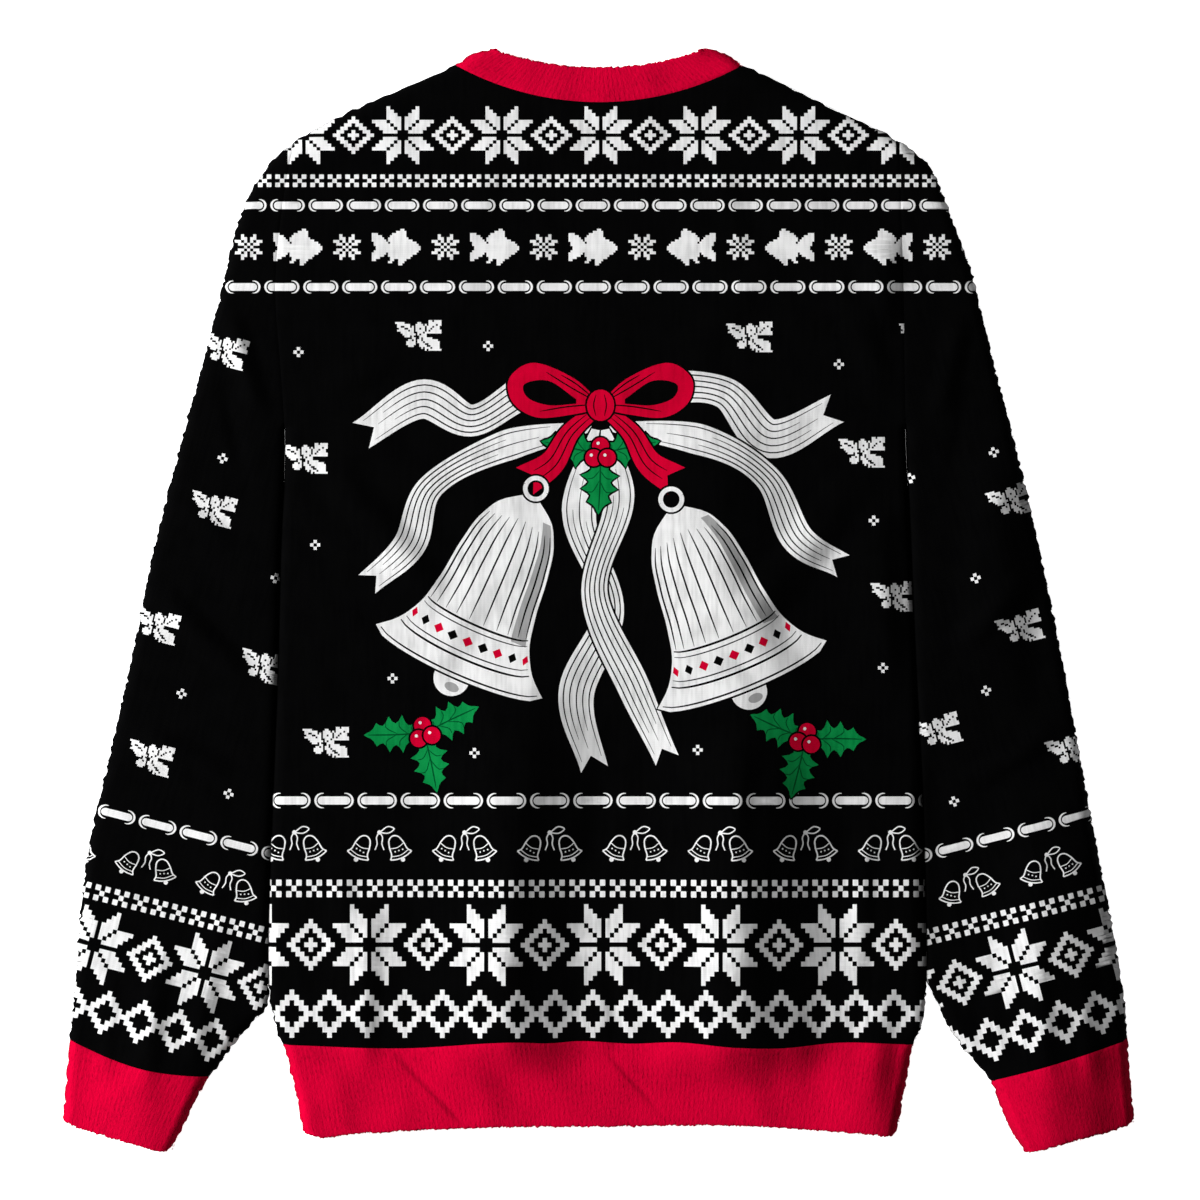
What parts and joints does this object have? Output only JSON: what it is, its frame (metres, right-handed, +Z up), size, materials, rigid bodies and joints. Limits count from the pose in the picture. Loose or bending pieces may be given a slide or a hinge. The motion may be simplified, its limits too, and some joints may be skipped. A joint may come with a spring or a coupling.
{
  "type": "christmas sweatshirt laid flat",
  "caption": "Knitted crew-neck pullover laid flat with its back up: front and back panels, long sleeves, and rib neckband, cuffs and hem band.",
  "frame": {"origin": "middle of the garment's outline, on the surface it lies on", "axes": "+Y towards the neck, +X to the right of a viewer who looks down with the neck away, +Z up from the surface"},
  "size_m": [0.7064, 0.7282, 0.0111],
  "materials": {
    "black_knit": "soft matt knit",
    "red_rib": "soft brushed rib knit",
    "white_yarn": "soft matt knit",
    "green_yarn": "soft matt knit"
  },
  "bodies": {
    "root": {"front": "black_knit", "back": "black_knit", "sleeve_left": "black_knit", "sleeve_right": "black_knit", "collar": "red_rib", "hem_band": "red_rib", "cuff_left": "red_rib", "cuff_right": "red_rib"}
  },
  "joints": []
}
